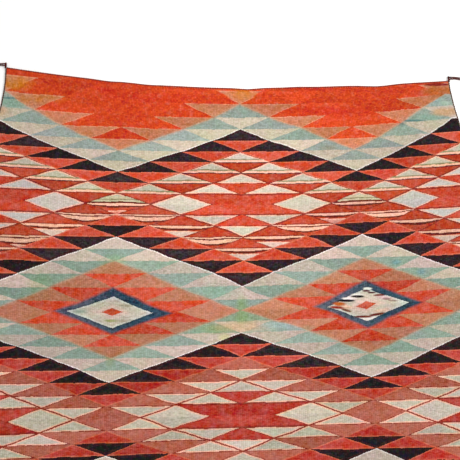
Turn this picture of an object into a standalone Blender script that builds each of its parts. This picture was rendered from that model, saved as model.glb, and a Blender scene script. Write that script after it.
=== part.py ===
"""Tapestry-woven wool rug, lying flat, with its selvage cords and corner tassels.

Metres, +Z up. X runs across the loom, Y along the warps, and the underside lies on Z = 0.
"""
import math

import bmesh
import bpy

# Driving dimensions of the cloth
half_length = 0.9235         # middle of the rug to the middle of either end
half_width = 0.684           # middle of the rug to a side, away from the corners
cloth_thickness = 0.004
far_left_rise = 0.064        # how far a corner stands out beyond the middle of its end
far_right_rise = 0.028
rise_power = 1.75            # how late along the end the rise comes
corner_draw = 0.029          # how far the sides pull in at the corners
draw_reach = 0.165           # how far along the side the pull is felt
side_wave = 0.0018           # scalloped sides
side_wave_length = 0.31
swell = 0.0005               # slow rise and fall of the upper face
swell_length = 0.43
columns = 44                 # faces across the cloth
rows = 46                    # faces along it

# Where the weaving has pulled an end in or let it out, seen from that end, the far one or the near
end_dents = (
    # distance right of the middle, depth, half width
    (-0.378, 0.0022, 0.035),
    (-0.257, 0.0022, 0.045),
    (0.049, 0.0036, 0.036),
    (0.205, -0.0016, 0.040),
    (0.457, 0.0052, 0.055),
)

# The cords round the edges, and the tassels that they end in
cord_diameter = 0.004
cord_sides = 6
piece_gap = 0.0003           # touching pieces stand this far apart
binding_width = 0.0052       # the bound root of a tassel
binding_length = 0.0175
binding_height = 0.0052
binding_foot = 0.7           # its narrow ends, as a share of its middle
strand_width = 0.0036
strand_height = 0.0034
strand_taper = 0.8           # a strand's tip, as a share of its root
strand_steps = 12
join_length = 0.020          # the strands come together this far from the binding

# Each strand of a tassel, from the lower one up. The root is measured from the corner along the
# warp, the climb brings the strand beside its neighbour, and the bend is how far its tip swings.
strands = (
    # root, climb, bend, length
    (0.0055, 0.0052, -0.011, 0.062),
    (0.0148, 0.0000, -0.007, 0.070),
)

# The corners: their sign along X and Y
corners = {
    "tassel_far_right": (1, 1),
    "tassel_far_left": (-1, 1),
    "tassel_near_left": (-1, -1),
    "tassel_near_right": (1, -1),
}


def corner_rise(across, along):
    """The rise at one corner: far and near ends are alike, turned half round."""
    return far_right_rise if across * along > 0 else far_left_rise


def end_pull(across):
    """How far an end is drawn in at a place across it."""
    pull = 0.0
    for middle, depth, half in end_dents:
        pull += depth * math.exp(-((across * half_width - middle) / half) ** 2)
    return pull


def place(across, along):
    """Where the cloth's own coordinates, both from -1 to 1, lie on the floor."""
    end = 1 if along >= 0 else -1
    rise = corner_rise(across, end) * abs(across) ** rise_power - end_pull(across * end) * abs(along) ** 3
    y = along * half_length + end * rise * abs(along) ** 3
    from_end = half_length + far_right_rise - abs(y)
    half = half_width - corner_draw * math.exp(-(from_end / draw_reach) ** 2)
    half += side_wave * math.sin(2 * math.pi * y / side_wave_length) * (1 - along ** 4)
    return across * half, y


def upper_face(x, y):
    """Height of the cloth's upper face."""
    wave = math.sin(2 * math.pi * x / swell_length) * math.cos(2 * math.pi * y / swell_length)
    return cloth_thickness + swell * wave


def yarn_material(name, colour):
    """Matt wool."""
    material = bpy.data.materials.new(name)
    material.use_nodes = True
    shader = material.node_tree.nodes["Principled BSDF"]
    shader.inputs["Base Color"].default_value = (*colour, 1.0)
    shader.inputs["Roughness"].default_value = 0.9
    shader.inputs["Metallic"].default_value = 0.0
    return material


def add_object(name, bm, material):
    """Makes an object of a closed mesh, its faces pointing out."""
    bmesh.ops.recalc_face_normals(bm, faces=bm.faces)
    mesh = bpy.data.meshes.new(name)
    bm.to_mesh(mesh)
    bm.free()
    mesh.materials.append(material)
    rug_piece = bpy.data.objects.new(name, mesh)
    bpy.context.collection.objects.link(rug_piece)
    return rug_piece


def cloth_mesh():
    """The flat cloth: an uneven upper face, upright edges and one flat underside."""
    bm = bmesh.new()
    top = []
    for j in range(rows + 1):
        row = []
        for i in range(columns + 1):
            x, y = place(2 * i / columns - 1, 2 * j / rows - 1)
            row.append(bm.verts.new((x, y, upper_face(x, y))))
        top.append(row)
    for low, high in zip(top, top[1:]):
        for i in range(columns):
            bm.faces.new((low[i], low[i + 1], high[i + 1], high[i]))
    edge = [e for e in bm.edges if e.is_boundary]
    walls = bmesh.ops.extrude_edge_only(bm, edges=edge)["geom"]
    for item in walls:
        if isinstance(item, bmesh.types.BMVert):
            item.co.z = 0.0
    bmesh.ops.holes_fill(bm, edges=[e for e in bm.edges if e.is_boundary], sides=0)
    return bm


def edge_path(start, end, steps):
    """Points along one edge of the cloth, from one of its corners to the next."""
    points = []
    for k in range(steps + 1):
        f = k / steps
        across = start[0] + (end[0] - start[0]) * f
        along = start[1] + (end[1] - start[1]) * f
        points.append(place(across, along))
    return points


def cord_mesh(points, outward):
    """A cord on the floor beside the cloth. Its rings stand square to the edge, on its outer side."""
    radius = cord_diameter / 2
    flat = radius * math.cos(math.pi / cord_sides)
    bm = bmesh.new()
    rings = []
    for k, (x, y) in enumerate(points):
        before = points[max(k - 1, 0)]
        after = points[min(k + 1, len(points) - 1)]
        run = math.hypot(after[0] - before[0], after[1] - before[1])
        across = (outward * (after[1] - before[1]) / run, -outward * (after[0] - before[0]) / run)
        ring = []
        for n in range(cord_sides):
            turn = math.pi * (2 * n + 1) / cord_sides + math.pi / 2
            out = piece_gap + radius + radius * math.cos(turn)
            height = flat + radius * math.sin(turn)
            ring.append(bm.verts.new((x + across[0] * out, y + across[1] * out, height)))
        rings.append(ring)
    for ring, following in zip(rings, rings[1:]):
        for n in range(cord_sides):
            m = (n + 1) % cord_sides
            bm.faces.new((ring[n], ring[m], following[m], following[n]))
    bm.faces.new(rings[0])
    bm.faces.new(rings[-1])
    return bm


def strand_point(strand, out):
    """How far along the warp a strand's middle lies, at a distance out from its root."""
    root, climb, bend, length = strand
    f = min(out / join_length, 1.0)
    return root + climb * f * f * (3 - 2 * f) + bend * (out / length) ** 2


def tassel_mesh(corner, side, end):
    """A bound root beyond the cords' ends, and its strands, lying away from the side."""
    inner = corner[0] + side * 2 * piece_gap
    foot = corner[1] + end * piece_gap
    bm = bmesh.new()

    def add(out, up, height):
        return bm.verts.new((inner + side * out, foot + end * up, height))

    # The binding is a bar along the warp, with a cut above and below each strand's root.
    cuts = [0.0]
    for strand in strands:
        cuts += [strand[0] - strand_width / 2, strand[0] + strand_width / 2]
    cuts.append(binding_length)
    layers = []
    for up in cuts:
        size = binding_foot if up in (cuts[0], cuts[-1]) else 1.0
        outer = binding_width * size
        high = binding_height * size
        layers.append([add(0, up, 0), add(outer, up, 0), add(outer, up, strand_height * size),
                       add(outer * 0.7, up, high), add(outer * 0.2, up, high)])
    for n, (ring, following) in enumerate(zip(layers, layers[1:])):
        root_here = n % 2 == 1
        for a in range(len(ring)):
            if not (root_here and a == 1):
                b = (a + 1) % len(ring)
                bm.faces.new((ring[a], ring[b], following[b], following[a]))
    bm.faces.new(layers[0])
    bm.faces.new(layers[-1])

    # Each strand grows out of the gap left for it in the binding's outer wall.
    for n, strand in enumerate(strands):
        low, high = layers[2 * n + 1], layers[2 * n + 2]
        ring = [low[1], high[1], high[2], low[2]]
        for k in range(1, strand_steps + 1):
            out = strand[3] * k / strand_steps
            ahead = strand_point(strand, out + 0.001) - strand_point(strand, out - 0.001)
            turn = math.atan2(ahead, 0.002)
            size = 1 - (1 - strand_taper) * k / strand_steps
            aside = (-math.sin(turn) * strand_width * size / 2, math.cos(turn) * strand_width * size / 2)
            middle = (binding_width + out, strand_point(strand, out))
            tall = strand_height * size
            following = [add(middle[0] - aside[0], middle[1] - aside[1], 0),
                         add(middle[0] + aside[0], middle[1] + aside[1], 0),
                         add(middle[0] + aside[0], middle[1] + aside[1], tall),
                         add(middle[0] - aside[0], middle[1] - aside[1], tall)]
            for a in range(4):
                b = (a + 1) % 4
                bm.faces.new((ring[a], ring[b], following[b], following[a]))
            ring = following
        bm.faces.new(ring)
    return bm


for old in list(bpy.data.objects):
    bpy.data.objects.remove(old)

cloth_wool = yarn_material("tapestry wool", (0.62, 0.10, 0.045))
end_wool = yarn_material("end cord wool", (0.10, 0.012, 0.010))
side_wool = yarn_material("side cord wool", (0.030, 0.018, 0.016))

add_object("rug_body", cloth_mesh(), cloth_wool)

far_end = edge_path((-1, 1), (1, 1), columns)
near_end = edge_path((-1, -1), (1, -1), columns)
left_side = edge_path((-1, -1), (-1, 1), rows)
right_side = edge_path((1, -1), (1, 1), rows)
add_object("end_cord_far", cord_mesh(far_end, -1), end_wool)
add_object("end_cord_near", cord_mesh(near_end, 1), end_wool)
add_object("side_cord_left", cord_mesh(left_side, -1), side_wool)
add_object("side_cord_right", cord_mesh(right_side, 1), side_wool)

for name, (side, end) in corners.items():
    add_object(name, tassel_mesh(place(side, end), side, end), side_wool)
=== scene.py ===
import math
from functools import partial

import bpy
import numpy as np
from mathutils import Matrix, Vector


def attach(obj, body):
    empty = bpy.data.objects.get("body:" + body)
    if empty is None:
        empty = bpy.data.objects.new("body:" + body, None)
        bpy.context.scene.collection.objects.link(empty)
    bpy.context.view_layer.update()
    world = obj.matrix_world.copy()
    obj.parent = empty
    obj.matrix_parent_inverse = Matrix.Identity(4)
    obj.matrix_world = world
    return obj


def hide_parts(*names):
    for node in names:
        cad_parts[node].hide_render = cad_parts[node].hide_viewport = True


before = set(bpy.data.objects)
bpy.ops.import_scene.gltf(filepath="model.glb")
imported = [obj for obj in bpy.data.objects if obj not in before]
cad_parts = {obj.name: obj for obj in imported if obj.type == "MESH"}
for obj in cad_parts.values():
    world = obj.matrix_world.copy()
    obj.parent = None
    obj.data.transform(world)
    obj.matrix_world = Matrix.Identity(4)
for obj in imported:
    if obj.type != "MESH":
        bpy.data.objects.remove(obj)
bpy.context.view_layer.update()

# The camera looks down on the far half of the rug, from a little left of its middle line. The
# angles are in degrees, and the aim is the point of the floor in the middle of the picture.
azimuth = -12.0
elevation = 72.6
roll = 10.96
distance = 1.757
aim = Vector((-0.0177, 0.4902, 0.0))
focal_length = 50.0
film_width = 36.0

turn = Matrix.Rotation(math.radians(azimuth), 3, "Z")
turn = turn @ Matrix.Rotation(math.radians(90 - elevation), 3, "X")
turn = turn @ Matrix.Rotation(math.radians(roll), 3, "Z")
camera_data = bpy.data.cameras.new("rug_camera")
camera_data.lens = focal_length
camera_data.sensor_width = film_width
camera = bpy.data.objects.new("rug_camera", camera_data)
camera.matrix_world = Matrix.Translation(aim + turn @ Vector((0, 0, distance))) @ turn.to_4x4()
bpy.context.collection.objects.link(camera)
bpy.context.scene.camera = camera

# The cloth is tapestry-woven from hand-spun wool. The weft is beaten down until it hides the
# warps, which show as ribs running up the cloth. Both faces are alike, and it lies flat on the
# floor by its own weight. Its ends bow in the middle and its sides draw in at the corners.
half_length = 0.9235
half_width = 0.684
cloth_thickness = 0.004
far_left_rise = 0.064
far_right_rise = 0.028
rise_power = 1.75
corner_draw = 0.029
draw_reach = 0.165
side_wave = 0.0018
side_wave_length = 0.31
swell = 0.0005
swell_length = 0.43
rib_pitch = 0.005        # the real warps stand about 3 mm apart, too fine to show
rib_depth = 0.0006
rib_faces = 3            # one narrow valley and two faces over each warp
rib_unevenness = 0.00008
valley_half = 0.1        # in ribs
cloth_rows = 58
rim_drop = 0.0009        # the edges are beaten thinner
end_dents = (
    # distance right of the middle, depth, half width
    (-0.378, 0.0022, 0.035),
    (-0.257, 0.0022, 0.045),
    (0.049, 0.0036, 0.036),
    (0.205, -0.0016, 0.040),
    (0.457, 0.0052, 0.055),
)


def draw_in(y):
    """Half the cloth's width at a distance up the cloth."""
    from_end = half_length + far_right_rise - np.abs(y)
    wave = side_wave * np.sin(2 * math.pi * y / side_wave_length)
    return half_width - corner_draw * np.exp(-(from_end / draw_reach) ** 2) + wave


def place(across, along):
    """Where the cloth's own coordinates, both from -1 to 1, lie on the floor."""
    end = np.where(along >= 0, 1.0, -1.0)
    rise = np.where(across * end > 0, far_right_rise, far_left_rise) * np.abs(across) ** rise_power
    for middle, depth, half in end_dents:
        pull = depth * np.exp(-((across * end * half_width - middle) / half) ** 2)
        rise = rise - pull * np.abs(along) ** 3
    y = along * half_length + end * rise * np.abs(along) ** 3
    wave = side_wave * np.sin(2 * math.pi * y / side_wave_length)
    return across * (draw_in(y) - wave * along ** 4), y


rib_count = round(2 * half_width / rib_pitch)
bpy.ops.mesh.primitive_grid_add(
    x_subdivisions=rib_count * rib_faces, y_subdivisions=cloth_rows, size=2)
cloth = bpy.context.object
cloth.name = "tapestry_cloth"
bpy.ops.object.modifier_add(type="SOLIDIFY")
cloth.modifiers["Solidify"].thickness = cloth_thickness
bpy.ops.object.modifier_apply(modifier="Solidify")

# The first half of the points is the upper face and the second half the underside below it.
point_count = len(cloth.data.vertices)
points = np.empty(point_count * 3, dtype=np.float32)
cloth.data.vertices.foreach_get("co", points)
points = points.reshape(-1, 3).astype(float)
face_points = point_count // 2
points[face_points:, :2] = points[:face_points, :2]
across = points[:, 0].copy()
along = points[:, 1].copy()
rib_place = (across + 1) / 2 * rib_count
x, y = place(across, along)
wave = np.sin(2 * math.pi * x / swell_length) * np.cos(2 * math.pi * y / swell_length)
valley = np.abs(rib_place - np.round(rib_place)) < valley_half
rib_heights = np.random.default_rng(4).normal(0, rib_unevenness, rib_count + 1)
rib_height = rib_heights[np.minimum(rib_place.astype(int), rib_count)]
rim_from = 0.9999
rim = (np.abs(across) > rim_from) | (np.abs(along) > rim_from)
sunk = np.where(valley, rib_depth, rib_height) + np.where(rim, rim_drop, 0)
points[:, 0] = x
points[:, 1] = y
upper = cloth_thickness + swell * wave - sunk
points[:face_points, 2] = upper[:face_points]
points[face_points:, 2] = np.maximum(sunk, 0)[face_points:]
cloth.data.vertices.foreach_set("co", points.astype(np.float32).ravel())
cloth.data.update()
bpy.ops.object.mode_set(mode="EDIT")
bpy.ops.mesh.select_all(action="SELECT")
bpy.ops.mesh.normals_make_consistent(inside=False)
bpy.ops.object.mode_set(mode="OBJECT")
bpy.ops.object.shade_smooth_by_angle(angle=math.radians(60))

# The lines of the weave bend as they do in a cloth beaten by hand. Each row of teeth is listed
# with where it lies up the cloth, at the sides and in the middle, how far it climbs to the right,
# and how far its columns stray to the right, at the left, in the middle and right of the middle.
# Row 25 is the middle of the cloth, and the near half is the far one turned half round.
middle_row = 25
row_lines = np.array((
    # row, side Y, middle Y, slant, left shift, middle shift, right shift
    (-3, 0.958, 0.917, -0.010, -0.002, 0.024, 0.008),
    (-1, 0.867, 0.830, 0.006, -0.005, 0.025, 0.006),
    (1, 0.782, 0.756, 0.004, 0.000, 0.019, 0.000),
    (5, 0.649, 0.624, -0.001, 0.003, 0.018, 0.000),
    (9, 0.521, 0.502, 0.002, -0.001, 0.019, -0.001),
    (13, 0.378, 0.370, 0.001, 0.002, 0.017, -0.004),
    (15, 0.313, 0.294, 0.010, 0.006, 0.007, 0.006),
    (17, 0.252, 0.239, 0.006, 0.013, 0.006, 0.008),
    (21, 0.122, 0.115, -0.002, 0.020, 0.003, 0.001),
    (25, 0.000, 0.000, 0.000, 0.000, 0.000, 0.000),
))

# The columns are not quite even, as the weaver judged each tooth by eye. To the right of the last
# one the bands run on level to the edge.
column_lines = np.array((
    # column, how far it stands to the right of the middle
    (-9, -0.738),
    (-8, -0.672),
    (-7, -0.586),
    (-6, -0.504),
    (-5, -0.421),
    (-4, -0.341),
    (-3, -0.255),
    (-2, -0.169),
    (-1, -0.080),
    (0, -0.001),
    (1, 0.081),
    (2, 0.176),
    (3, 0.257),
    (4, 0.337),
    (5, 0.420),
    (6, 0.501),
    (7, 0.586),
    (8, 0.676),
))
edge_column = 8          # a row's slant and bow are measured out to this column
middle_reach = 7         # columns from the middle to where the middle shift has faded
left_from = 3            # the left shift grows from this column to twice as far out
right_at = 2.5           # the right shift is whole at this column and fades on both sides of it
settle_rounds = 6        # a point's row depends on its column and the other way round
half_turn = np.where(y >= 0, 1.0, -1.0)
far_x = x * half_turn
far_y = y * half_turn
column = np.interp(far_x, column_lines[:, 1], column_lines[:, 0])
for settle in range(settle_rounds):
    s = column / edge_column
    row = np.full_like(far_y, row_lines[0, 0])
    for low, high in zip(row_lines, row_lines[1:]):
        low_y = low[1] - (low[1] - low[2]) * (1 - s ** 2) + low[3] * s
        high_y = high[1] - (high[1] - high[2]) * (1 - s ** 2) + high[3] * s
        share = (low_y - far_y) / (low_y - high_y)
        least = -1 if low[0] == row_lines[0, 0] else 0
        row += (high[0] - low[0]) * np.clip(share, least, 1)
    left, middle, right = (np.interp(row, row_lines[:, 0], row_lines[:, k]) for k in (4, 5, 6))
    shift = middle * (1 - (column / middle_reach) ** 2)
    shift += left * np.clip((-column - left_from) / left_from, 0, 1)
    shift += right * np.clip(1 - np.abs(column - right_at) / right_at, 0, 1)
    unshifted = far_x * half_width / draw_in(far_y) - shift
    column = np.interp(unshifted, column_lines[:, 1], column_lines[:, 0])
column = column * half_turn
row = middle_row + (row - middle_row) * half_turn

# Two maps lie on the cloth: its place on the weaver's chart, and its warp and weft threads.
beads_per_row = 11       # wefts shown between two rows of teeth
bead_pitch = 0.003
corners = np.empty(len(cloth.data.loops), dtype=np.int32)
cloth.data.loops.foreach_get("vertex_index", corners)
for name, u, v in (("chart", column, row), ("threads", rib_place, row * beads_per_row)):
    uv_map = cloth.data.uv_layers.get(name) or cloth.data.uv_layers.new(name=name)
    uv_map.data.foreach_set("uv", np.stack((u[corners], v[corners]), 1).astype(np.float32).ravel())
cloth.data.uv_layers.remove(cloth.data.uv_layers[0])


def linear(colour):
    """An sRGB hex colour as linear red, green, blue and alpha."""
    parts = [int(colour[k:k + 2], 16) / 255 for k in (1, 3, 5)]
    return (*(p / 12.92 if p <= 0.04045 else ((p + 0.055) / 1.055) ** 2.4 for p in parts), 1.0)


def add_node(tree, kind, sockets, bands=(), **settings):
    """Adds a shader node, such as "Mix RGBA" or "Math ADD", with its settings. Its sockets, in
    order or by name, get values or other nodes' outputs. The bands of a ramp are given as where
    each begins, from 0.0 on, and its colour."""
    kind, *choice = kind.split()
    node = tree.nodes.new("ShaderNode" + kind)
    if choice:
        setattr(node, "data_type" if kind == "Mix" else "operation", choice[0])
    for name, value in settings.items():
        setattr(node, name, value)
    if bands:
        stops = node.color_ramp.elements
        node.color_ramp.interpolation = "CONSTANT"
        stops.remove(stops[-1])
        stops[0].color = bands[0][1]
    for start, colour in bands[1:]:
        stops.new(start).color = colour
    shown = [s for s in node.inputs if s.enabled]
    if isinstance(sockets, dict):
        shown = [next(s for s in shown if s.name == name) for name in sockets]
        sockets = sockets.values()
    for socket, value in zip(shown, sockets):
        if isinstance(value, bpy.types.NodeSocket):
            tree.links.new(value, socket)
        else:
            socket.default_value = value
    return next(s for s in node.outputs if s.enabled)


# Hand-spun wool, dyed in the yarn: matt, faintly hairy, each thread a little lighter or darker.
wool = bpy.data.materials.new("hand_spun_tapestry_wool")
wool.use_nodes = True
tree = wool.node_tree
add = partial(add_node, tree)
shader = tree.nodes["Principled BSDF"]
shader.inputs["Sheen Weight"].default_value = 0.04
shader.inputs["Sheen Roughness"].default_value = 0.6
shader.inputs["Specular IOR Level"].default_value = 0.05

yarns = {
    "flame red": "#CE4000",
    "deep red": "#C32A04",
    "red": "#C34B35",
    "rose red": "#B64034",
    "brick": "#B8482E",
    "black": "#23181E",
    "blue black": "#060006",
    "jet": "#2E0002",
    "white": "#C6BCAC",
    "grey green": "#BEB6A5",
    "cream": "#C2B1A4",
    "warm cream": "#C3B5A2",
    "celadon": "#93A097",
    "pale celadon": "#8B9E92",
    "light celadon": "#A4BCA8",
    "sky celadon": "#98B0B2",
    "tan": "#C27A59",
    "salmon": "#B6795E",
    "faded salmon": "#B2967E",
    "rust salmon": "#B06250",
    "teal blue": "#2C4A5C",
    "purple blue": "#5C6272",
    "dark blue": "#142A34",
    "bright cream": "#EEE4E0",
    "peach": "#DDB49C",
    "pale peach": "#F0B8A0",
    "dark brown": "#66240C",
    "pale red": "#CE6A50",
    "pale salmon": "#DC9070",
    "olive": "#8E8664",
    "olive green": "#8C9850",
    "leaf green": "#86A06C",
    "yellow green": "#C4C08C",
    "ochre": "#C4762C",
    "brown ochre": "#AC602C",
    "sand": "#C8A070",
    "sea green": "#78A08A",
    "ink blue": "#5C90A4",
    "dark teal": "#3C6C6C",
    "orange": "#B8602C",
    "maroon": "#54202A",
    "crimson": "#84100A",
    "mauve pink": "#C8A8AA",
    "mauve brown": "#826260",
    "pink white": "#D6B8AC",
    "greenish white": "#B0B29A",
    "lilac white": "#BCBCC0",
    "dark umber": "#0C0200",
    "clean white": "#E4E0D8",
    "cool white": "#CCD2CC",
    "milk white": "#C4BAAA",
    "heart red": "#C0563E",
    "dark red": "#943224",
    "dark brick": "#883220",
    "pale olive": "#C0B698",
}
yarns = {name: linear(colour) for name, colour in yarns.items()}

# Where each point of the cloth is on the chart. Teeth step from one thread to the next. The real
# threads are finer than the ribs and beads shown, so the steps are half as long as those.
ribs_per_column = 17
steps = 2
column_stray = 0.16      # how unevenly the teeth are woven, in columns and in rows
row_stray = 0.24
fibre_place = add("TexCoord", {}).node.outputs["Object"]
chart_place = add("UVMap", {}, uv_map="chart")
chart_parts = add("SeparateXYZ", (chart_place,)).node.outputs
thread_place = add("UVMap", {}, uv_map="threads")
thread_parts = add("SeparateXYZ", (thread_place,)).node.outputs
unevenness = add("TexNoise", {"Vector": fibre_place, "Scale": 18.0, "Detail": 3.0}).node
unevenness = add("SeparateColor", (unevenness.outputs["Color"],)).node.outputs
past_steps = []
on_chart = []
for axis, threads, stray, random_part in (
        ("X", ribs_per_column, column_stray, "Red"), ("Y", beads_per_row, row_stray, "Green")):
    past = add("Math MULTIPLY", (thread_parts[axis], steps))
    past = add("Math FRACT", (past,))
    past = add("Math SUBTRACT", (past, 0.5))
    spot = add("Math MULTIPLY_ADD", (past, -1 / threads / steps, chart_parts[axis]))
    strayed = add("Math SUBTRACT", (unevenness[random_part], 0.5))
    past_steps.append(past)
    on_chart.append(add("Math MULTIPLY_ADD", (strayed, stray, spot)))
past_warp, past_weft = past_steps
u, v = on_chart

# The lozenge of the lattice that the point is in, and its place in it: how far it is from the
# level line through the lozenge's middle, from its slanting sides, and from its upright middle.
lattice = []
for way in ("ADD", "SUBTRACT"):
    slant = add("Math", (v, u), operation=way)
    slant = add("Math MULTIPLY", (slant, 0.5))
    lattice.append(add("Math FLOOR", (slant,)))
    lattice.append(add("Math FRACT", (slant,)))
lozenge_a, part_a, lozenge_b, part_b = lattice
parts_sum = add("Math ADD", (part_a, part_b))
below = add("Math GREATER_THAN", (parts_sum, 1.0))
from_base = add("Math SUBTRACT", (parts_sum, 1.0))
from_base = add("Math ABSOLUTE", (from_base,))
least_part = add("Math MINIMUM", (part_a, part_b))
most_part = add("Math MAXIMUM", (part_a, part_b))
from_most = add("Math SUBTRACT", (1.0, most_part))
from_side = add("Mix", (below, least_part, from_most))
sideways = add("Math SUBTRACT", (part_a, part_b))

# Folding the chart. It repeats every eight columns and is the same on both sides of row 25. The
# zigzags part red lozenges from light ones, and teeth are counted inwards from them.
fold_from = 10           # the chart is woven from this many rows above row 0
half_repeat = 4          # columns from the middle of a red lozenge to the middle of a light one
red_half = 7             # rows from row 0 down to the middle of the first red lozenges
red_repeat = 18          # rows from there to the middle of the second ones
light_half = 6           # rows from the middle of the light lozenges to their upper corners
light_middle = 16        # the row through the middle of the light lozenges
first_red = 8            # where each zone begins in the numbering of the teeth
light_zone = 16
second_red = 24
lifted = add("Math ADD", (v, fold_from))
folded = add("Math PINGPONG", (lifted, middle_row + fold_from))
far_v = add("Math SUBTRACT", (folded, fold_from))
zigzag = add("Math PINGPONG", (u, half_repeat))
past_middle = add("Math SUBTRACT", (far_v, light_middle))
from_light = add("Math ABSOLUTE", (past_middle,))
light_reach = add("Math ADD", (zigzag, light_half - half_repeat))
light = add("Math LESS_THAN", (from_light, light_reach))
second = add("Math GREATER_THAN", (past_middle, 0.0))
red_row = add("Math MULTIPLY_ADD", (second, -red_repeat, far_v))
from_red = add("Math SUBTRACT", (red_row, red_half))
from_red = add("Math ABSOLUTE", (from_red,))
red_depth = add("Math SUBTRACT", (red_half, from_red))
light_depth = add("Math SUBTRACT", (light_half, from_light))
light_side = add("Math SUBTRACT", (half_repeat, zigzag))
depth = add("Mix", (light, red_depth, light_depth))
side = add("Mix", (light, zigzag, light_side))
with_side = add("Math ADD", (depth, side))
with_side = add("Math MULTIPLY", (with_side, 0.5))
with_side = add("Math FLOOR", (with_side,))
against_side = add("Math SUBTRACT", (depth, side))
against_side = add("Math MULTIPLY", (against_side, 0.5))
ring = add("Math FLOOR", (against_side,))
whole_depth = add("Math FLOOR", (depth,))
teeth_in = add("Math MULTIPLY_ADD", (ring, 3.0, with_side))
teeth_in = add("Math SUBTRACT", (teeth_in, whole_depth))
red_zone = add("Math MULTIPLY_ADD", (second, second_red - first_red, first_red))
zone = add("Mix", (light, red_zone, light_zone))
tooth = add("Math ADD", (teeth_in, zone))
tooth = add("Math ADD", (tooth, 1.0))

# The weaver's chart. A ring of teeth is counted from the zigzag, and 0 is the half of a lozenge
# that points into the zone and 1 the half that points to the zigzag. Many teeth have a line of
# another yarn round their edge, as wide as is listed in shares of a tooth. The jet line round the
# black teeth is partly that yarn and partly painted shade under the teeth.
chart_cells = 32
white_line = 0.09
chart = (
    # zone, ring, half, yarn, yarn of the line, its width
    (first_red, -4, 0, "flame red", "flame red", 0.0),
    (first_red, -2, 0, "tan", "pale salmon", 0.04),
    (first_red, -2, 1, "flame red", "flame red", 0.0),
    (first_red, -1, 0, "warm cream", "warm cream", 0.0),
    (first_red, -1, 1, "celadon", "celadon", 0.0),
    (first_red, 0, 0, "red", "pale red", 0.055),
    (first_red, 0, 1, "black", "jet", 0.11),
    (first_red, 1, 0, "brick", "dark brick", 0.055),
    (first_red, 1, 1, "grey green", "pale peach", white_line),
    (first_red, 2, 0, "red", "red", 0.0),
    (first_red, 2, 1, "white", "pale peach", white_line),
    (first_red, 3, 0, "red", "red", 0.0),
    (light_zone, 0, 0, "pale celadon", "pale celadon", 0.0),
    (light_zone, 0, 1, "cream", "cream", 0.0),
    (light_zone, 1, 0, "red", "red", 0.0),
    (light_zone, 1, 1, "salmon", "salmon", 0.0),
    (light_zone, 2, 0, "red", "red", 0.0),
    (second_red, 0, 0, "rose red", "pale red", 0.05),
    (second_red, 0, 1, "blue black", "jet", 0.12),
    (second_red, 1, 0, "grey green", "pale peach", white_line),
    (second_red, 1, 1, "rust salmon", "rust salmon", 0.0),
    (second_red, 2, 0, "rose red", "rose red", 0.0),
    (second_red, 2, 1, "white", "pale peach", white_line),
    (second_red, 3, 0, "rose red", "rose red", 0.0),
)
chart_spot = add("Math MULTIPLY_ADD", (tooth, 1 / chart_cells, 0.5 / chart_cells))
body_bands = []
line_bands = []
for zone_start, ring_number, half, body_yarn, line_yarn, width in chart:
    spot = (zone_start + 2 * ring_number + half) / chart_cells
    body_bands.append((spot, yarns[body_yarn]))
    line_bands.append((spot, (*yarns[line_yarn][:3], width)))
bodies = add("ValToRGB", (chart_spot,), body_bands)
lines = add("ValToRGB", (chart_spot,), line_bands)
line_softness = 0.025
line_width = lines.node.outputs["Alpha"]
at_middle = add("Math LESS_THAN", (from_red, 0.5))
off_base = add("Math MULTIPLY_ADD", (from_base, 0.5, at_middle))
from_edge = add("Math MINIMUM", (from_side, off_base))
to_line = add("Math SUBTRACT", (line_width, from_edge))
on_line = add("Math MULTIPLY", (to_line, 1 / line_softness), use_clamp=True)
colour = add("Mix RGBA", (on_line, bodies, lines))

# The lines round the white teeth have a dark edge.
dark_edge = 0.03
is_white_line = add("Math COMPARE", (line_width, white_line, 0.005))
at_edge = add("Math LESS_THAN", (from_edge, dark_edge))
in_edge = add("Math MULTIPLY", (is_white_line, at_edge))
colour = add("Mix RGBA", (in_edge, colour, yarns["dark brick"]))

# The red band through the middle of the red lozenge has a dark line along its two edges: painted
# shade in the valley where the band meets the rows above and below it.
band_half = 1.0
band_shade_width = 0.09
band_from = 2.0          # the line begins this many rings in
in_band = add("Math LESS_THAN", (from_red, band_half))
by_band_edge = add("Math GREATER_THAN", (from_red, band_half - band_shade_width))
in_band_shade = add("Math MULTIPLY", (in_band, by_band_edge))
far_in = add("Math GREATER_THAN", (against_side, band_from))
in_band_shade = add("Math MULTIPLY", (in_band_shade, far_in))
not_light = add("Math SUBTRACT", (1.0, light))
in_band_shade = add("Math MULTIPLY", (in_band_shade, not_light))
colour = add("Mix RGBA", (in_band_shade, colour, yarns["dark red"]))

# A bright cream line is woven along the zigzags, on their light side.
zigzag_line = 0.034
from_zigzag = add("Math ABSOLUTE", (against_side,))
by_zigzag = add("Math LESS_THAN", (from_zigzag, zigzag_line))
outside = add("Math LESS_THAN", (against_side, 0.0))
light_side_of_it = add("Math MAXIMUM", (light, outside))
in_line = add("Math MULTIPLY", (by_zigzag, light_side_of_it))
colour = add("Mix RGBA", (in_line, colour, yarns["bright cream"]))

# Where the celadon ring meets the salmon and tan ones, the dyes have bled into each other.
bleed = 0.11             # how far, as a share of a tooth
most_bled = 0.6
from_first = add("Math SUBTRACT", (from_zigzag, 1.0))
from_first = add("Math ABSOLUTE", (from_first,))
bled = add("MapRange",
           {"Value": from_first, "From Min": bleed, "From Max": 0.0, "To Max": most_bled})
bled = add("Math MULTIPLY", (bled, light_side_of_it))
colour = add("Mix RGBA", (bled, colour, yarns["faded salmon"]))

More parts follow.
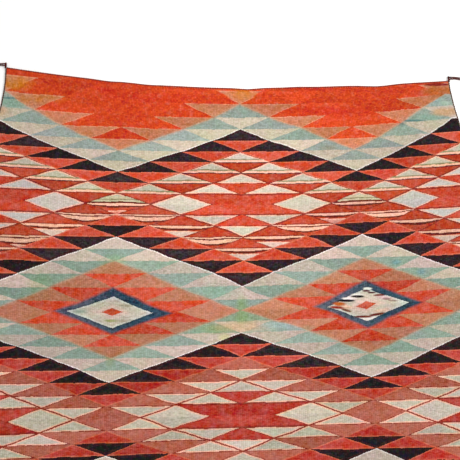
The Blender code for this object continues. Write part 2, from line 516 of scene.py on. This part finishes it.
# The second ring of the red lozenge is woven in stripes. Above its middle a tooth stands on a bar,
# with a dark line under it. Below the middle a tooth hangs from one stripe or two, whose lower
# edges sag, and some end in a pale tip.
stripes = {
    # each stripe: where it begins as a share of the tooth's height, its yarn, whether it is shown
    "bar": ((0.00, "pale peach", 1), (0.18, "olive", 1), (0.30, "olive", 0)),
    "crown": ((0.00, "dark brown", 1), (0.16, "pale olive", 1), (0.32, "olive", 1),
              (0.42, "pale olive", 1), (0.66, "pale olive", 0)),
    "under": ((0.00, "maroon", 1), (0.08, "maroon", 0)),
    "one": ((0.00, "pale peach", 1), (0.24, "dark brown", 1), (0.43, "brick", 1)),
    "two": ((0.00, "pale peach", 1), (0.14, "dark brown", 1), (0.26, "pale peach", 1),
            (0.59, "dark brown", 1), (0.73, "brick", 1)),
}
lower_teeth = (
    # column, stripes, where its tip begins as a share of its height, how pale the tip is
    (-8, 1, 0.42, 1.0),
    (-7, 2, 0.75, 0.5),
    (-6, 1, 0.42, 1.0),
    (-5, 2, 1.00, 1.0),
    (-4, 1, 0.68, 0.2),
    (-3, 2, 1.00, 1.0),
    (-2, 1, 0.45, 1.0),
    (-1, 2, 1.00, 1.0),
    (0, 1, 0.45, 1.0),
    (1, 1, 0.48, 1.0),
    (2, 2, 1.00, 1.0),
    (3, 1, 0.52, 0.4),
    (4, 1, 1.00, 1.0),
    (5, 2, 1.00, 1.0),
    (6, 1, 1.00, 1.0),
    (7, 1, 0.45, 1.0),
    (8, 2, 1.00, 1.0),
)
column_count = len(lower_teeth)
sag = 1.2                # how much lower the stripes hang at the sides of a tooth
tip_line = 0.08          # the pale line over a tip, as a share of the tooth's height
striped_tooth = first_red + 3        # ring 1, half 1 of the chart
tooth_under_it = first_red + 2       # ring 1, half 0
lozenge_column = add("Math SUBTRACT", (lozenge_a, lozenge_b))
column_spot = add("Math MULTIPLY_ADD", (lozenge_column, 1 / column_count, 0.5))
by_column = add("ValToRGB", (column_spot,), [
    ((lozenge - lower_teeth[0][0]) / column_count, (stripe_count - 1, tip, paleness, 1.0))
    for lozenge, stripe_count, tip, paleness in lower_teeth])
column_parts = add("SeparateColor", (by_column,)).node.outputs
bow = add("Math MULTIPLY", (sideways, sideways))
bow = add("Math MULTIPLY_ADD", (bow, sag, 1.0))
bowed = add("Math MULTIPLY", (from_base, bow))
striped = {}
for name, bands in stripes.items():
    height = bowed if name in ("one", "two") else from_base
    striped[name] = add("ValToRGB", (height,), [
        (start, (*yarns[yarn][:3], shown)) for start, yarn, shown in bands])
in_tip = add("Math GREATER_THAN", (from_base, column_parts["Green"]))
tip_edge = add("Math ADD", (column_parts["Green"], tip_line))
in_tip_body = add("Math GREATER_THAN", (from_base, tip_edge))
hanging = add("Mix RGBA", (column_parts["Red"], striped["one"], striped["two"]))
tip_colour = add("Mix RGBA", (column_parts["Blue"], yarns["pale red"], yarns["pink white"]))
for cover, shown in ((in_tip, yarns["pale peach"]), (in_tip_body, tip_colour)):
    hanging = add("Mix RGBA", (cover, hanging, shown))
second_ring = add("Math COMPARE", (tooth, striped_tooth, 0.5))
second_under = add("Math COMPARE", (tooth, tooth_under_it, 0.5))
lower = add("Math GREATER_THAN", (far_v, red_half))
upper = add("Math SUBTRACT", (1.0, lower))
in_crown = add("Math GREATER_THAN", (red_depth, red_half - 1))
in_bar = add("Math SUBTRACT", (1.0, in_crown))
for name, where in (("bar", (second_ring, upper, in_bar)),
                    ("crown", (second_ring, upper, in_crown)),
                    ("under", (second_under, upper, in_bar))):
    cover = striped[name].node.outputs["Alpha"]
    for part in where:
        cover = add("Math MULTIPLY", (cover, part))
    colour = add("Mix RGBA", (cover, colour, striped[name]))
hangs = add("Math MULTIPLY", (second_ring, lower))
colour = add("Mix RGBA", (hangs, colour, hanging))

# In the middle of each light lozenge is a blue one with a white one in it and a small red heart,
# woven by eye, so that no two sides are quite alike.
centre_shapes = (
    # shape, lozenge, its middle right and down of the light one's, and from there its left, right,
    # upper and lower corners, in columns and rows, and how many rows it falls in a column
    ("frame", "left", 0.00, 0.01, -1.86, 1.86, -2.05, 1.95, 0.06),
    ("frame", "right", -0.02, -0.04, -1.80, 1.94, -2.12, 1.98, 0.05),
    ("white", "left", 0.02, 0.00, -1.50, 1.25, -1.40, 1.44, 0.06),
    ("white", "right", -0.02, -0.02, -1.38, 1.50, -1.48, 1.39, 0.02),
    ("heart", "left", 0.00, -0.08, -0.34, 0.34, -0.38, 0.38, 0.00),
    ("heart", "right", -0.02, -0.01, -0.35, 0.35, -0.38, 0.38, -0.27),
)
right_one = add("Math GREATER_THAN", (u, 0.0))
centre_u = add("Math WRAP", (u, 2 * half_repeat, 0.0))
centre_u = add("Math SUBTRACT", (centre_u, half_repeat))
reach_in = {}
for in_left, in_right in zip(centre_shapes[::2], centre_shapes[1::2]):
    middle_u, middle_v, left_end, right_end, top_end, foot_end, fall = (
        add("Math MULTIPLY_ADD", (right_one, b - a, a))
        for a, b in zip(in_left[2:], in_right[2:]))
    aside = add("Math SUBTRACT", (centre_u, middle_u))
    down = add("Math SUBTRACT", (past_middle, middle_v))
    fallen = add("Math MULTIPLY", (aside, fall))
    down = add("Math SUBTRACT", (down, fallen))
    reaches = []
    for off, ends in ((aside, (left_end, right_end)), (down, (top_end, foot_end))):
        shares = [add("Math DIVIDE", (off, end)) for end in ends]
        reaches.append(add("Math MAXIMUM", shares))
    reach_in[in_left[0]] = add("Math ADD", reaches)
mottle = add("TexNoise", {"Vector": fibre_place, "Scale": 110.0, "Detail": 3.0})
fades = {}
for name, source, none_at, whole_at, strongest in (
        # fade, what it goes by, where it is nothing, where it is whole, how strong it is there
        ("frame", reach_in["frame"], 1.07, 0.94, 1.0),
        ("purple", centre_u, 0.6, -1.2, 1.0),
        ("inner shade", reach_in["white"], 1.16, 1.02, 0.45),
        ("mottle", mottle, 0.5, 0.62, 0.55),
        ("blush", reach_in["heart"], 2.3, 1.3, 0.9),
        ("rim", reach_in["white"], 0.86, 0.94, 0.7)):
    fades[name] = add("MapRange", {
        "Value": source, "From Min": none_at, "From Max": whole_at, "To Max": strongest})
in_frame = add("Math MULTIPLY", (fades["frame"], light))
in_white = add("Math LESS_THAN", (reach_in["white"], 1.0))
in_white = add("Math MULTIPLY", (in_white, in_frame))
in_heart = add("Math LESS_THAN", (reach_in["heart"], 1.0))
in_heart = add("Math MULTIPLY", (in_heart, in_frame))
blue = yarns["teal blue"]
for name, yarn in (("purple", "purple blue"), ("inner shade", "dark blue"), ("mottle", "dark blue")):
    blue = add("Mix RGBA", (fades[name], blue, yarns[yarn]))
white = yarns["milk white"]
for name, yarn in (("blush", "pink white"), ("rim", "cool white")):
    white = add("Mix RGBA", (fades[name], white, yarns[yarn]))
for cover, shown in ((in_frame, blue), (in_white, white), (in_heart, yarns["heart red"])):
    colour = add("Mix RGBA", (cover, colour, shown))

# Slivers of odd yarn woven into the right lozenge, and places where a batch of dye ran out or
# bled. Each is an oval with a ragged edge, at a place on the cloth in millimetres.
ragged = add("TexNoise", {"Vector": fibre_place, "Scale": 60.0, "Detail": 3.0}).node
ragged = add("VectorMath SUBTRACT", (ragged.outputs["Color"], (0.5, 0.5, 0.5)))
to_thread_x = add("Math MULTIPLY", (past_warp, -rib_pitch / steps))
to_thread_y = add("Math MULTIPLY", (past_weft, bead_pitch / steps))
to_thread = add("CombineXYZ", (to_thread_x, to_thread_y))
woven_place = add("VectorMath ADD", (fibre_place, to_thread))
in_ring = add("Math LESS_THAN", (against_side, 1.0))
pale_in = add("Math MULTIPLY", (in_ring, light))
pale_out = add("Math COMPARE", (against_side, -0.5, 0.5))
pale = add("Math MAXIMUM", (pale_in, pale_out))
dark = add("Math SUBTRACT", (1.0, pale))
white_tooth = first_red + 5          # ring 2, half 1 of the chart
white_teeth = add("Math COMPARE", (tooth, white_tooth, 0.5))
white_teeth = add("Math SUBTRACT", (white_teeth, on_line), use_clamp=True)
kept_to = {"pale": pale, "dark": dark, "white": white_teeth, "frame": in_frame, "centre": in_white}
marks = (
    # kept to, yarn, X, Y, half length, half width, raggedness, tilt in degrees, softness, strength
    ("dark", "ochre", -621, 937, 37, 19, 30, 0, 0.7, 0.9),
    ("dark", "ochre", -553, 889, 57, 12.2, 30, 0, 0.8, 0.5),
    ("dark", "deep red", -365, 918, 34, 9.5, 40, -8, 0.7, 0.9),
    ("dark", "deep red", -231, 892, 152, 9.5, 110, -2, 0.9, 0.6),
    ("dark", "deep red", 294, 852, 108, 12.2, 60, -1, 0.9, 0.8),
    ("dark", "deep red", 311, 923, 109, 6.8, 80, -1, 0.9, 0.5),
    ("dark", "flame red", -31, 900, 37, 8.8, 8, -35, 0.4, 1.0),
    ("dark", "flame red", 83, 904, 38, 8.8, 8, 35, 0.4, 1.0),
    ("dark", "ochre", 27, 905, 33, 16.3, 12, 0, 0.6, 0.85),
    ("dark", "brick", 563, 914, 36, 12.2, 20, 0, 0.8, 0.7),
    ("dark", "flame red", -690, 532, 60, 20, 20, 0, 0.6, 0.55),
    ("dark", "brown ochre", 622, 918, 48, 18, 10, 0, 0.4, 0.85),
    ("dark", "brown ochre", 549, 883, 49, 12.2, 30, 2, 0.8, 0.4),
    ("dark", "crimson", 619, 942, 39, 4.9, 6, 2, 0.3, 1.0),
    ("pale", "light celadon", -636, 906, 17, 5.4, 12, -2, 0.7, 0.7),
    ("pale", "sea green", -635, 875, 36, 16.3, 30, -2, 0.6, 0.6),
    ("pale", "dark teal", -642, 891, 19, 3.3, 8, -2, 0.6, 0.7),
    ("pale", "sand", -660, 849, 15, 15, 20, -6, 0.7, 0.6),
    ("pale", "dark teal", 535, 822, 32, 3.3, 6, 0, 0.5, 0.85),
    ("pale", "dark teal", 500, 810, 11, 6.8, 20, 9, 0.8, 0.55),
    ("pale", "sea green", 577, 832, 58, 10.9, 30, 0, 0.8, 0.5),
    ("pale", "sky celadon", 607, 885, 17, 10.9, 20, 12, 0.8, 0.6),
    ("pale", "light celadon", 641, 878, 20, 8.2, 15, 0, 0.7, 0.7),
    ("pale", "sand", 632, 850, 39, 12.2, 14, 3, 0.5, 0.8),
    ("pale", "sea green", -65, 318, 52, 16.3, 30, -1, 0.8, 0.55),
    ("pale", "leaf green", 8, 266, 15, 34, 12, -1, 0.6, 0.8),
    ("pale", "leaf green", 17, 245, 53, 12.2, 20, -1, 0.8, 0.6),
    ("pale", "leaf green", -61, 217, 35, 10.9, 20, -1, 0.7, 0.6),
    ("pale", "sand", 11, 223, 72, 12.2, 20, -1, 0.7, 0.5),
    ("pale", "yellow green", -39, 196, 15, 9.5, 12, -1, 0.7, 0.8),
    ("pale", "sky celadon", 99, 225, 39, 8.2, 20, -1, 0.8, 0.6),
    ("pale", "olive", 275, 735, 22, 7, 16, 0, 0.8, 0.55),
    ("pale", "olive green", -335, 158, 12, 24, 20, 0, 0.8, 0.5),
    ("pale", "leaf green", -520, 345, 30, 20, 30, 0, 0.9, 0.35),
    ("pale", "leaf green", -330, 408, 30, 12, 30, 0, 0.9, 0.4),
    ("pale", "ink blue", 434, 393, 12, 6, 14, 0, 0.7, 0.6),
    ("pale", "ink blue", 503, 365, 12, 8, 14, 12, 0.7, 0.45),
    ("dark", "olive", 181, 218, 14, 7, 20, 0, 0.8, 0.55),
    ("white", "lilac white", -640, 560, 120, 120, 30, 0, 0.9, 0.5),
    ("white", "lilac white", 600, 560, 150, 120, 30, 0, 0.9, 0.5),
    ("centre", "pale celadon", -416, 271, 19, 5.4, 6, -1, 0.8, 0.8),
    ("centre", "pink white", -382, 269, 12, 8.2, 8, 6, 0.9, 0.5),
    ("centre", "olive", -298, 285, 16, 3.3, 6, -10, 0.8, 0.6),
    ("centre", "greenish white", -278, 271, 20, 6.8, 8, -9, 0.9, 0.4),
    ("centre", "olive green", -336, 245, 16, 3.5, 4, -1, 0.7, 0.85),
    ("centre", "olive", -301, 244, 20, 3.5, 6, 1, 0.8, 0.45),
    ("centre", "cool white", -235, 265, 8, 4.6, 3, -1, 0.5, 0.8),
    ("frame", "clean white", 350, 320, 11, 3.5, 2, -1, 0.4, 0.95),
    ("centre", "maroon", 346, 314, 11, 2.6, 1, -1, 0.3, 1.0),
    ("centre", "maroon", 360, 309, 11, 2.3, 1, -1, 0.3, 1.0),
    ("frame", "clean white", 321, 304, 17, 3, 2, -1, 0.3, 1.0),
    ("frame", "dark umber", 321, 299, 18, 3.3, 1, -1, 0.2, 1.0),
    ("frame", "clean white", 298, 294, 20, 3, 2, -1, 0.3, 1.0),
    ("frame", "dark umber", 289, 288, 24, 3.3, 1, -1, 0.2, 1.0),
    ("centre", "dark brown", 382, 302, 18, 2.7, 1, 2, 0.3, 1.0),
    ("centre", "mauve pink", 397, 294, 22, 4.4, 3, -5, 0.6, 0.9),
    ("centre", "mauve brown", 399, 291, 11, 2.4, 1, -1, 0.4, 0.9),
    ("centre", "mauve brown", 416, 286, 13, 2.2, 1, -1, 0.4, 0.8),
    ("frame", "orange", 270, 279, 17, 5.7, 3, -4, 0.4, 1.0),
    ("frame", "peach", 288, 271, 14, 4.9, 3, -9, 0.6, 1.0),
    ("frame", "dark red", 262, 270, 19, 3.5, 1, -5, 0.3, 1.0),
    ("frame", "dark brown", 287, 262, 14, 3.3, 1, -17, 0.3, 0.9),
    ("centre", "clean white", 292, 249, 15, 3.3, 2, -23, 0.5, 0.85),
    ("centre", "peach", 385, 260, 23, 4.9, 3, 7, 0.7, 0.75),
    ("centre", "clean white", 344, 239, 29, 4.6, 2, 2, 0.5, 0.75),
    ("frame", "dark brown", 331, 244, 23, 3.1, 1, -1, 0.3, 1.0),
    ("centre", "dark brown", 370, 250, 23, 3.4, 1, 9, 0.3, 1.0),
    ("centre", "cool white", 446, 282, 16, 6.8, 2, -1, 0.6, 0.9),
)
for where, yarn, *sizes, tilt, softness, strength in marks:
    at_x, at_y, half_long, half_wide, raggedness = (size / 1000 for size in sizes)
    stray = (raggedness, raggedness / 2, 0.0)
    off = add("VectorMath MULTIPLY_ADD", (ragged, stray, woven_place))
    off = add("VectorMath SUBTRACT", (off, (at_x, at_y, 0.0)))
    lean = math.radians(tilt)
    length_way = (math.cos(lean) / half_long, math.sin(lean) / half_long, 0.0)
    width_way = (-math.sin(lean) / half_wide, math.cos(lean) / half_wide, 0.0)
    along_it = add("VectorMath DOT_PRODUCT", (off, length_way))
    across_it = add("VectorMath DOT_PRODUCT", (off, width_way))
    reach = add("CombineXYZ", (along_it, across_it))
    reach = add("VectorMath LENGTH", (reach,))
    cover = add("MapRange", {
        "Value": reach, "From Min": 1 + softness, "From Max": 1 - softness, "To Max": strength},
        interpolation_type="SMOOTHSTEP")
    cover = add("Math MULTIPLY", (cover, kept_to[where]))
    colour = add("Mix RGBA", (cover, colour, yarns[yarn]))

# The dye drifts between a pinker and a greener cast over a hand's breadth, and each tooth comes
# from its own length of yarn. Hand-spun yarn takes the dye unevenly along its length, and is
# lighter and greyer where it took less. Fluff and odd fibres carded in show most on the black.
# The valleys between the ribs are also painted darker, as painted shade between the warps.
# This greys the lighter points, both where the dye is lighter and where the painted rib shade is
# lighter.
greying_with_value = 0.10          # how much greyer a lighter length of yarn is
mean_shade = 0.89
darkest = 0.004
carded_share = 0.057
carded_least = (-0.025, -0.027, -0.027)
drift = add("TexNoise", {"Vector": fibre_place, "Scale": 16.0, "Detail": 4.0})
cast = add("ValToRGB", (drift,))
pinker, greener = cast.node.color_ramp.elements
pinker.position = 0.35
pinker.color = (1.0, 0.94, 0.97, 1.0)
greener.position = 0.65
greener.color = (0.95, 1.0, 0.92, 1.0)
warp = add("Math FLOOR", (thread_parts["X"],))
over = add("Math MULTIPLY_ADD", (warp, 0.5, thread_parts["Y"]))
weft = add("Math FLOOR", (over,))
pick = add("Math FLOOR", (thread_parts["Y"],))
tooth_name = add("CombineXYZ", (lozenge_a, lozenge_b, below))
bead_name = add("CombineXYZ", (warp, weft))
length_of_yarn = add("CombineXYZ", (thread_parts["X"], pick))
length_of_yarn = add("Mapping", {"Vector": length_of_yarn, "Scale": (0.35, 7.3, 1.0)})
tooth_shade = add("TexWhiteNoise", (tooth_name,)).node.outputs
bead_shade = add("TexWhiteNoise", (bead_name,)).node.outputs
bead_dye = add("SeparateColor", (bead_shade["Color"],)).node.outputs
yarn_shade = add("TexNoise", {"Vector": length_of_yarn, "Scale": 1.0, "Detail": 2.0}).node
yarn_dye = add("SeparateColor", (yarn_shade.outputs["Color"],)).node.outputs
tints = [cast]
for source, spread in (
        (tooth_shade["Color"], (0.05, 0.06, 0.08)), (bead_shade["Color"], (0.07, 0.07, 0.07))):
    tint = add("VectorMath SUBTRACT", (source, (0.5, 0.5, 0.5)))
    tints.append(add("VectorMath MULTIPLY_ADD", (tint, spread, (1.0, 1.0, 1.0))))
for tint in tints:
    colour = add("Mix RGBA", (1.0, colour, tint), blend_type="MULTIPLY")
dye_bands = add("Mapping", {"Vector": fibre_place, "Scale": (2.0, 22.0, 2.0)})
abrash = add("TexNoise", {"Vector": dye_bands, "Scale": 1.0, "Detail": 2.0})
# Nothing in the valleys between the ribs and most on their crests. It raises the ribs in the bump,
# and in the Value below it paints the valleys darker as shade.
rib_round = add("Math PINGPONG", (thread_parts["X"], 0.5))
bead_round = add("Math PINGPONG", (over, 0.5))
ragged_parts = add("SeparateXYZ", (ragged,)).node.outputs
taken = {"Color": colour}
for name, least, sources in (
        # socket, its least value, and each source of unevenness with how much it adds
        ("Hue", 0.496, ((bead_dye["Red"], 0.004), (yarn_dye["Red"], 0.004))),
        ("Saturation", 0.95, ((yarn_dye["Green"], 0.12), (ragged_parts["Z"], 0.35))),
        # In the Value, rib_round is painted shade in the rib valleys; the other sources are the
        # yarn's own unevenness.
        ("Value", 0.36, ((tooth_shade["Value"], 0.17), (bead_dye["Blue"], 0.20),
                         (yarn_dye["Blue"], 0.47), (abrash, 0.14), (rib_round, 0.16)))):
    taken[name] = least
    for source, spread in sources:
        taken[name] = add("Math MULTIPLY_ADD", (source, spread, taken[name]))
colour = add("HueSaturation", taken)
# Grey is added where the Value is high and taken away where it is low, so the painted rib shade is
# deepened here too.
paler = add("Math MULTIPLY_ADD", (taken["Value"], greying_with_value, -greying_with_value * mean_shade))
colour = add("VectorMath ADD", (colour, paler))
colour = add("VectorMath MAXIMUM", (colour, (darkest, darkest, darkest)))
fluff = add("Math POWER", (bead_shade["Value"], 2.0))
carded_in = add("TexNoise", {"Vector": fibre_place, "Scale": 90.0, "Detail": 3.0}).node
carded_in = carded_in.outputs["Color"]
carded_in = add("VectorMath MULTIPLY_ADD", (carded_in, (carded_share,) * 3, carded_least))
carded_in = add("VectorMath MAXIMUM", (carded_in, (0.0, 0.0, 0.0)))
for share, fibres in ((fluff, linear("#120C10")), (1.0, carded_in)):
    colour = add("Mix RGBA", (share, colour, fibres), blend_type="ADD")

# Beads of weft over the warps, with the hairs of the yarn.
hairs = add("TexNoise", {"Vector": fibre_place, "Scale": 900.0, "Detail": 3.0})
bead_height = add("Math MULTIPLY", (bead_round, rib_round))
bead_height = add("Math POWER", (bead_height, 0.5))
relief = add("Math MULTIPLY_ADD", (hairs, 0.4, bead_height))
bump = add("Bump", {"Height": relief, "Strength": 0.6, "Distance": 0.0008})
roughness = add("Math MULTIPLY_ADD", (hairs, 0.15, 0.82))
for socket, source in (("Base Color", colour), ("Normal", bump), ("Roughness", roughness)):
    tree.links.new(source, shader.inputs[socket])
cloth.data.materials.append(wool)

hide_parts("rug_body")
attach(cloth, "root")

# A cord of two plies lies along each end, outside the cloth, and the last wefts are twined round
# it. It is spun harder than the weft, and is a dark brown red.
cord_diameter = 0.004
piece_gap = 0.0003
ply_turn = 0.014         # the length of one turn of the twist
points_per_turn = 8
edge_points = 400        # points at which the cloth's edge is measured
cord_unevenness = 0.00025
bend_points = 6          # points from one small bend of the cord to the next


def edge_line(start, end, outward):
    """The middle of a cord along one edge, from corner to corner, at even steps."""
    share = np.linspace(0, 1, edge_points)
    x, y = place(start[0] + (end[0] - start[0]) * share, start[1] + (end[1] - start[1]) * share)
    run = np.gradient(x)
    rise = np.gradient(y)
    length = np.hypot(run, rise)
    out = outward * (piece_gap + cord_diameter / 2)
    x = x + out * rise / length
    y = y - out * run / length
    far = np.concatenate(([0], np.cumsum(np.hypot(np.diff(x), np.diff(y)))))
    steps = round(far[-1] / ply_turn * points_per_turn)
    even = np.linspace(0, far[-1], steps + 1)
    height = np.full_like(even, cord_diameter / 2)
    line = np.stack((np.interp(even, far, x), np.interp(even, far, y), height), 1)
    bend = np.random.default_rng(len(line)).normal(0, 1, len(line) // bend_points + 2)
    bend = np.interp(np.arange(len(line)) / bend_points, np.arange(len(bend)), bend)
    line[:, 0] += cord_unevenness * bend * np.abs(np.gradient(line[:, 1])) / np.gradient(even)
    return line


def plies(line, thickness, turn_length):
    """Two threads that wind round a line. Each is as thick as half the cord."""
    step = np.gradient(line, axis=0)
    far = np.concatenate(([0], np.cumsum(np.linalg.norm(np.diff(line, axis=0), axis=1))))
    step /= np.linalg.norm(step, axis=1)[:, None]
    aside = np.stack((-step[:, 1], step[:, 0], np.zeros(len(line))), 1)
    turned = 2 * math.pi * far / turn_length
    threads = []
    for start in (0, math.pi):
        swing = aside * np.cos(turned + start)[:, None]
        swing[:, 2] += np.sin(turned + start)
        threads.append(line + swing * thickness / 4)
    return threads


def yarn_mesh(name, threads, thicknesses):
    """A mesh of round threads, each along its own line of points."""
    bpy.ops.curve.primitive_nurbs_path_add()
    yarn = bpy.context.object
    yarn.name = name
    yarn.data.splines.clear()
    for thread, thickness in zip(threads, thicknesses):
        spline = yarn.data.splines.new("POLY")
        spline.points.add(len(thread) - 1)
        spline.points.foreach_set("co", np.c_[thread, np.ones(len(thread))].ravel())
        spline.points.foreach_set("radius", np.broadcast_to(thickness, len(thread)).astype(float))
    yarn.data.bevel_depth = 0.5
    yarn.data.bevel_resolution = 1
    yarn.data.use_fill_caps = True
    bpy.ops.object.convert(target="MESH")
    bpy.ops.object.shade_smooth()
    return bpy.context.object


def plied_wool(name, dark, light):
    """Hard-twisted wool: matt, with fine streaks of fibre that are paler where they are worn."""
    material = bpy.data.materials.new(name)
    material.use_nodes = True
    tree = material.node_tree
    add = partial(add_node, tree)
    shader = tree.nodes["Principled BSDF"]
    shader.inputs["Sheen Weight"].default_value = 0.04
    shader.inputs["Specular IOR Level"].default_value = 0.1
    place_on_it = add("TexCoord", {}).node.outputs["Object"]
    fibres = add("TexNoise", {"Vector": place_on_it, "Scale": 1400.0, "Detail": 3.0})
    wear = add("TexNoise", {"Vector": place_on_it, "Scale": 60.0, "Detail": 2.0})
    worn = add("Math MULTIPLY", (fibres, wear))
    worn = add("MapRange", {"Value": worn, "From Min": 0.15, "From Max": 0.4})
    shown = add("Mix RGBA", (worn, linear(dark), linear(light)))
    raised = add("Bump", {"Height": fibres, "Strength": 0.4, "Distance": 0.0003})
    roughness = add("Math MULTIPLY_ADD", (fibres, 0.15, 0.8))
    for socket, source in (("Base Color", shown), ("Normal", raised), ("Roughness", roughness)):
        tree.links.new(source, shader.inputs[socket])
    return material


end_wool = plied_wool("plied_end_cord_wool", "#74200C", "#B0401E")
for name, start, end, outward, node in (
        ("plied_cord_far", (-1, 1), (1, 1), -1, "end_cord_far"),
        ("plied_cord_near", (-1, -1), (1, -1), 1, "end_cord_near")):
    threads = plies(edge_line(start, end, outward), cord_diameter, ply_turn)
    cord = yarn_mesh(name, threads, (cord_diameter / 2, cord_diameter / 2))
    cord.data.materials.append(end_wool)
    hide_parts(node)
    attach(cord, "root")

# The side cords are the same, of dark grey-brown wool.
side_wool = plied_wool("plied_side_cord_wool", "#3C2820", "#8E6A54")
for name, side_of_it, outward, node in (
        ("plied_cord_left", -1, -1, "side_cord_left"),
        ("plied_cord_right", 1, 1, "side_cord_right")):
    threads = plies(edge_line((side_of_it, -1), (side_of_it, 1), outward), cord_diameter, ply_turn)
    cord = yarn_mesh(name, threads, (cord_diameter / 2, cord_diameter / 2))
    cord.data.materials.append(side_wool)
    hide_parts(node)
    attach(cord, "root")

# At each corner the ends of the cords are bound together with yarn, and left as two plied tails
# that come together beside each other on the floor. Their tips have come untwisted.
binding_width = 0.0052
binding_length = 0.0175
binding_height = 0.0052
wrap_thickness = 0.0013
wrap_points = 12         # points to a turn of the wrapping
strand_thickness = 0.0042
tail_turn = 0.0095
join_length = 0.020
tail_taper = 0.85
frayed_from = 0.82       # the tip's own threads part from here on
fray_threads = 5
fray_points = 7
fray_thickness = 0.0006
fray_spread = 0.0016
fray_rise = 0.0022       # how high a loose thread may end
core_points = 6
core_shift = 0.001       # the core of the binding ends this far beyond it
strands = (
    # root, climb, bend, length
    (0.0100, 0.0018, -0.0115, 0.062),
    (0.0160, 0.0000, -0.0105, 0.070),
)
tassel_wool = plied_wool("plied_tassel_wool", "#2C0604", "#7A2418")
for name, side_of_it, end_of_it in (
        ("tassel_far_right", 1, 1), ("tassel_far_left", -1, 1),
        ("tassel_near_left", -1, -1), ("tassel_near_right", 1, -1)):
    corner_x, corner_y = place(np.array(float(side_of_it)), np.array(float(end_of_it)))
    inner = corner_x + side_of_it * 2 * piece_gap
    foot = corner_y + end_of_it * piece_gap
    rng = np.random.default_rng(7 + side_of_it + 3 * end_of_it)

    coil_points = round(binding_length / wrap_thickness * wrap_points)
    up = np.linspace(0, binding_length - wrap_thickness, coil_points)
    turned = 2 * math.pi * up / wrap_thickness
    coil_aside = binding_width / 2 + (binding_width - wrap_thickness) / 2 * np.cos(turned)
    coil = np.stack((
        inner + side_of_it * coil_aside,
        foot + end_of_it * (up + wrap_thickness / 2),
        binding_height / 2 + (binding_height - wrap_thickness) / 2 * np.sin(turned)), 1)
    core = np.stack((
        np.full(core_points, inner + side_of_it * binding_width / 2),
        foot + end_of_it * np.linspace(core_shift, binding_length + core_shift, core_points),
        np.full(core_points, binding_height / 2)), 1)
    threads = [coil, core]
    thicknesses = [wrap_thickness, binding_height - wrap_thickness]
    for root, climb, bend, length in strands:
        tail_points = round(length / tail_turn * points_per_turn)
        out = np.linspace(-binding_width / 2, length * frayed_from, tail_points)
        joined = np.clip(out / join_length, 0, 1)
        up = root + climb * joined ** 2 * (3 - 2 * joined) + bend * (out / length) ** 2
        line = np.stack((
            inner + side_of_it * (binding_width + out),
            foot + end_of_it * up,
            np.full_like(out, strand_thickness / 2)), 1)
        threads += plies(line, strand_thickness, tail_turn)
        thinner = strand_thickness / 2 * np.linspace(1, tail_taper, len(line))
        thicknesses += [thinner, thinner]
        ahead = line[-1] - line[-3]
        ahead /= np.linalg.norm(ahead)
        sideward = np.array((-ahead[1], ahead[0], 0.0))
        for ply in threads[-2:]:
            for hair in range(fray_threads):
                reach = length * (1 - frayed_from) * rng.uniform(0.6, 1.0)
                reach = reach * np.linspace(-0.3, 1, fray_points)[:, None]
                spread = rng.normal(0, fray_spread) * np.linspace(0, 1, fray_points)[:, None] ** 2
                thread = ply[-1] + ahead * reach + sideward * spread
                tip_height = rng.uniform(fray_thickness / 2, fray_rise)
                thread[:, 2] = np.linspace(ply[-1][2], tip_height, fray_points)
                threads.append(thread)
                thicknesses.append(fray_thickness * np.linspace(1, 0.4, fray_points))
    tassel = yarn_mesh("bound_" + name, threads, thicknesses)
    tassel.data.materials.append(tassel_wool)
    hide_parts(name)
    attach(tassel, "root")

# The studio: a pale floor, an even white sky, one broad soft lamp from the right, low enough to
# pick out the ribs, and a small soft box with a grid over the far half of the rug.
bpy.ops.mesh.primitive_plane_add(size=12, location=(0, 0, -0.0002))
floor = bpy.context.object
floor.name = "studio_floor"
floor_paint = bpy.data.materials.new("white_matt_floor_paint")
floor_paint.use_nodes = True
floor_shader = floor_paint.node_tree.nodes["Principled BSDF"]
floor_shader.inputs["Base Color"].default_value = linear("#FBFAF8")
floor_shader.inputs["Roughness"].default_value = 0.9
floor.data.materials.append(floor_paint)

sky = bpy.data.worlds.new("studio_sky")
sky.use_nodes = True
sky_light = sky.node_tree.nodes["Background"].inputs
sky_light["Color"].default_value = (1.0, 1.0, 1.0, 1.0)
sky_light["Strength"].default_value = 0.85
bpy.context.scene.world = sky

lamp_place = Vector((3.4, 1.2, 2.6))
lamp_data = bpy.data.lights.new("soft_box", "AREA")
lamp_data.size = 1.8
lamp_data.energy = 100.0
lamp = bpy.data.objects.new("soft_box", lamp_data)
lamp.location = lamp_place
lamp.rotation_euler = (Vector((0.0, 0.3, 0.0)) - lamp_place).to_track_quat("-Z", "Y").to_euler()
bpy.context.collection.objects.link(lamp)

overhead_data = bpy.data.lights.new("overhead_soft_box", "AREA")
overhead_data.shape = "DISK"
overhead_data.size = 0.5
overhead_data.spread = math.radians(58)
overhead_data.energy = 0.6
overhead = bpy.data.objects.new("overhead_soft_box", overhead_data)
overhead.location = (-0.03, 0.58, 1.2)
bpy.context.collection.objects.link(overhead)
bpy.context.scene.view_settings.view_transform = "Standard"
